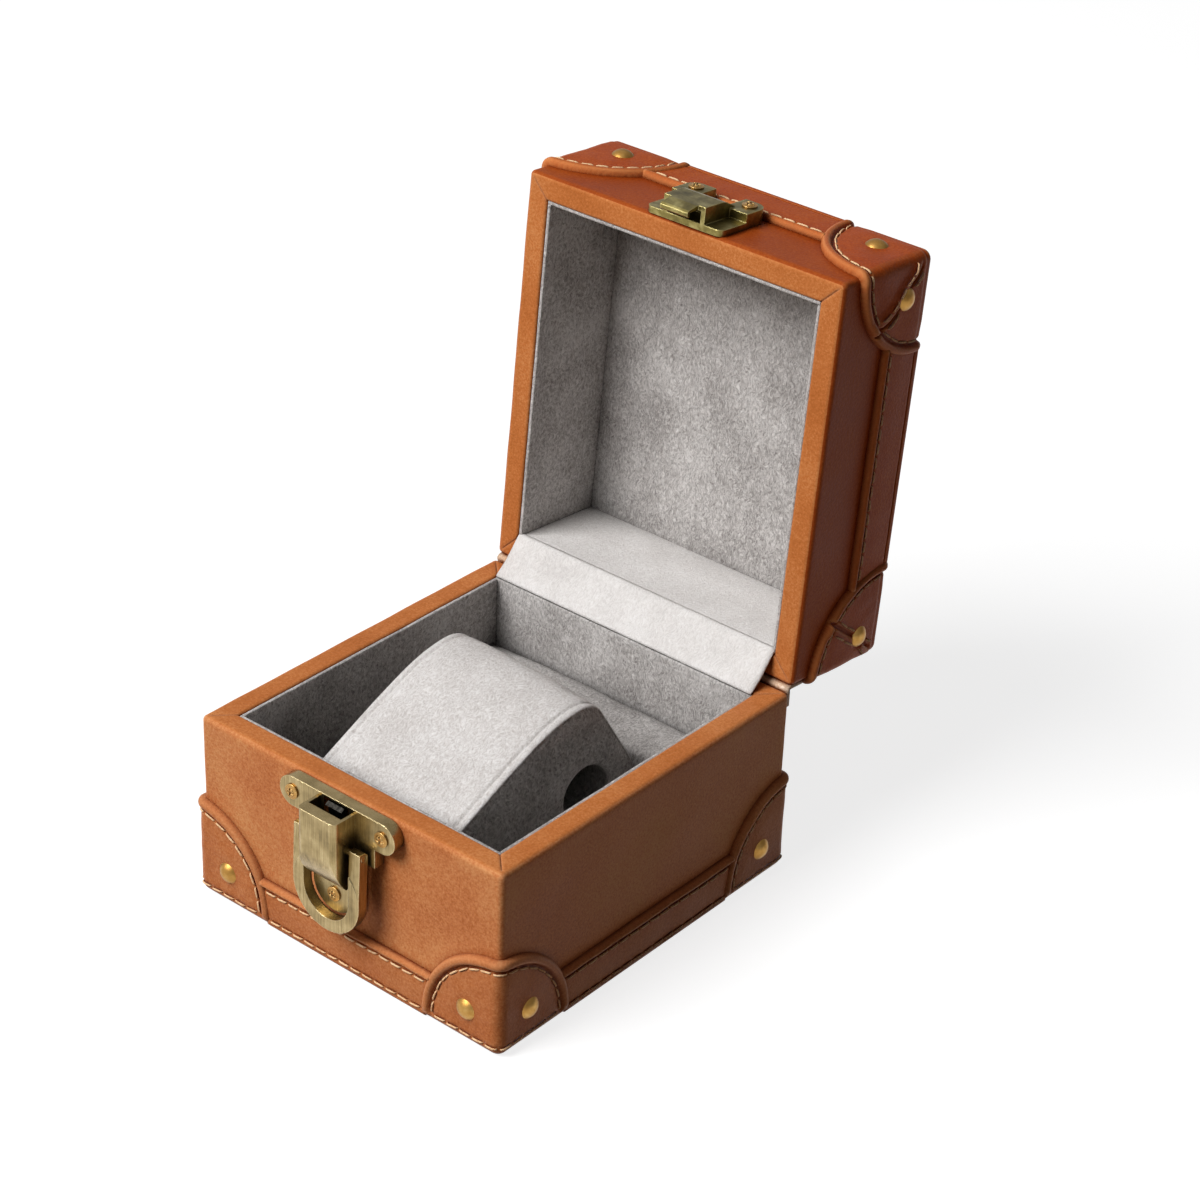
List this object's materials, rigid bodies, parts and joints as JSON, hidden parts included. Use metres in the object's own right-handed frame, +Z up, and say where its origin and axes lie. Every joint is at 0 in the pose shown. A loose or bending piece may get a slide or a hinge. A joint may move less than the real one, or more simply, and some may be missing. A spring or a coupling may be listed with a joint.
{
  "type": "watch display box",
  "caption": "Trunk-style leather box with a hinged lid, capped corners, a spring latch and a lift-out cushion that holds one watch for display.",
  "frame": {"origin": "middle of the face that the base stands on", "axes": "+X to the right seen from the latch, +Y from the latch to the hinge, +Z up"},
  "size_m": [0.111, 0.1726, 0.1766],
  "materials": {
    "tan_leather": "smooth tan leather with a fine grain, paler where it is pulled over an edge",
    "grey_suede": "pale grey brushed microsuede",
    "grey_board": "plain pressed fibre board",
    "base_cloth": "thin dark leather on the underside",
    "antiqued_brass": "brushed, antiqued and lacquered",
    "nail_brass": "polished and lightly aged",
    "screw_brass": "bright, with wear on the recess",
    "spring_steel": "plain drawn and pressed steel"
  },
  "bodies": {
    "base": {"base_board_front": "grey_board", "base_board_rear": "grey_board", "base_board_left": "grey_board", "base_board_right": "grey_board", "base_board_floor": "grey_board", "base_leather_wrap": "tan_leather", "base_rim_leather": "tan_leather", "base_bottom_panel": "base_cloth", "base_lining_front": "grey_suede", "base_lining_rear": "grey_suede", "base_lining_left": "grey_suede", "base_lining_right": "grey_suede", "base_lining_floor": "grey_suede", "rear_rest_pad": "grey_suede", "base_edge_strips": "tan_leather", "base_cap_front_left": "tan_leather", "base_cap_front_right": "tan_leather", "base_cap_rear_left": "tan_leather", "base_cap_rear_right": "tan_leather", "base_dome_nails": "nail_brass", "latch_backplate": "antiqued_brass", "latch_housing": "antiqued_brass", "latch_pin": "antiqued_brass", "latch_spring": "spring_steel", "latch_screws": "screw_brass", "hinge_leather": "tan_leather", "hinge_gusset": "grey_suede"},
    "lid": {"lid_board_front": "grey_board", "lid_board_rear": "grey_board", "lid_board_left": "grey_board", "lid_board_right": "grey_board", "lid_board_top": "grey_board", "lid_leather_wrap": "tan_leather", "lid_rim_leather": "tan_leather", "lid_lining_front": "grey_suede", "lid_lining_rear": "grey_suede", "lid_lining_left": "grey_suede", "lid_lining_right": "grey_suede", "lid_lining_top": "grey_suede", "lid_edge_strips": "tan_leather", "lid_cap_front_left": "tan_leather", "lid_cap_front_right": "tan_leather", "lid_cap_rear_left": "tan_leather", "lid_cap_rear_right": "tan_leather", "lid_dome_nails": "nail_brass", "strike_plate": "antiqued_brass", "strike_screws": "screw_brass"},
    "bail": {"latch_bail": "antiqued_brass"},
    "catch": {"latch_catch": "spring_steel"},
    "cushion": {"cushion_pad": "grey_suede"}
  },
  "joints": [
    {"name": "lid_hinge", "type": "hinge", "parent": "base", "child": "lid", "pos_m": [0, 0.0578, 0.0557], "axis": [1, 0, 0], "range_deg": [0, 95], "deforming": ["hinge_leather", "hinge_gusset"]},
    {"name": "bail_turn", "type": "hinge", "parent": "base", "child": "bail", "pos_m": [0, -0.0625, 0.0431], "axis": [-1, 0, 0], "range_deg": [0, 45], "stiffness_Nm_per_rad": 0.01},
    {"name": "catch_turn", "type": "hinge", "parent": "base", "child": "catch", "pos_m": [0, -0.0625, 0.0431], "axis": [-1, 0, 0], "range_deg": [0, 6]},
    {"name": "cushion_lift", "type": "slide", "parent": "base", "child": "cushion", "axis": [0, 0, 1], "range_m": [0, 0.09]}
  ],
  "couplings": [
    {"joint": "catch_turn", "follows": "bail_turn", "ratio": 0.13}
  ]
}
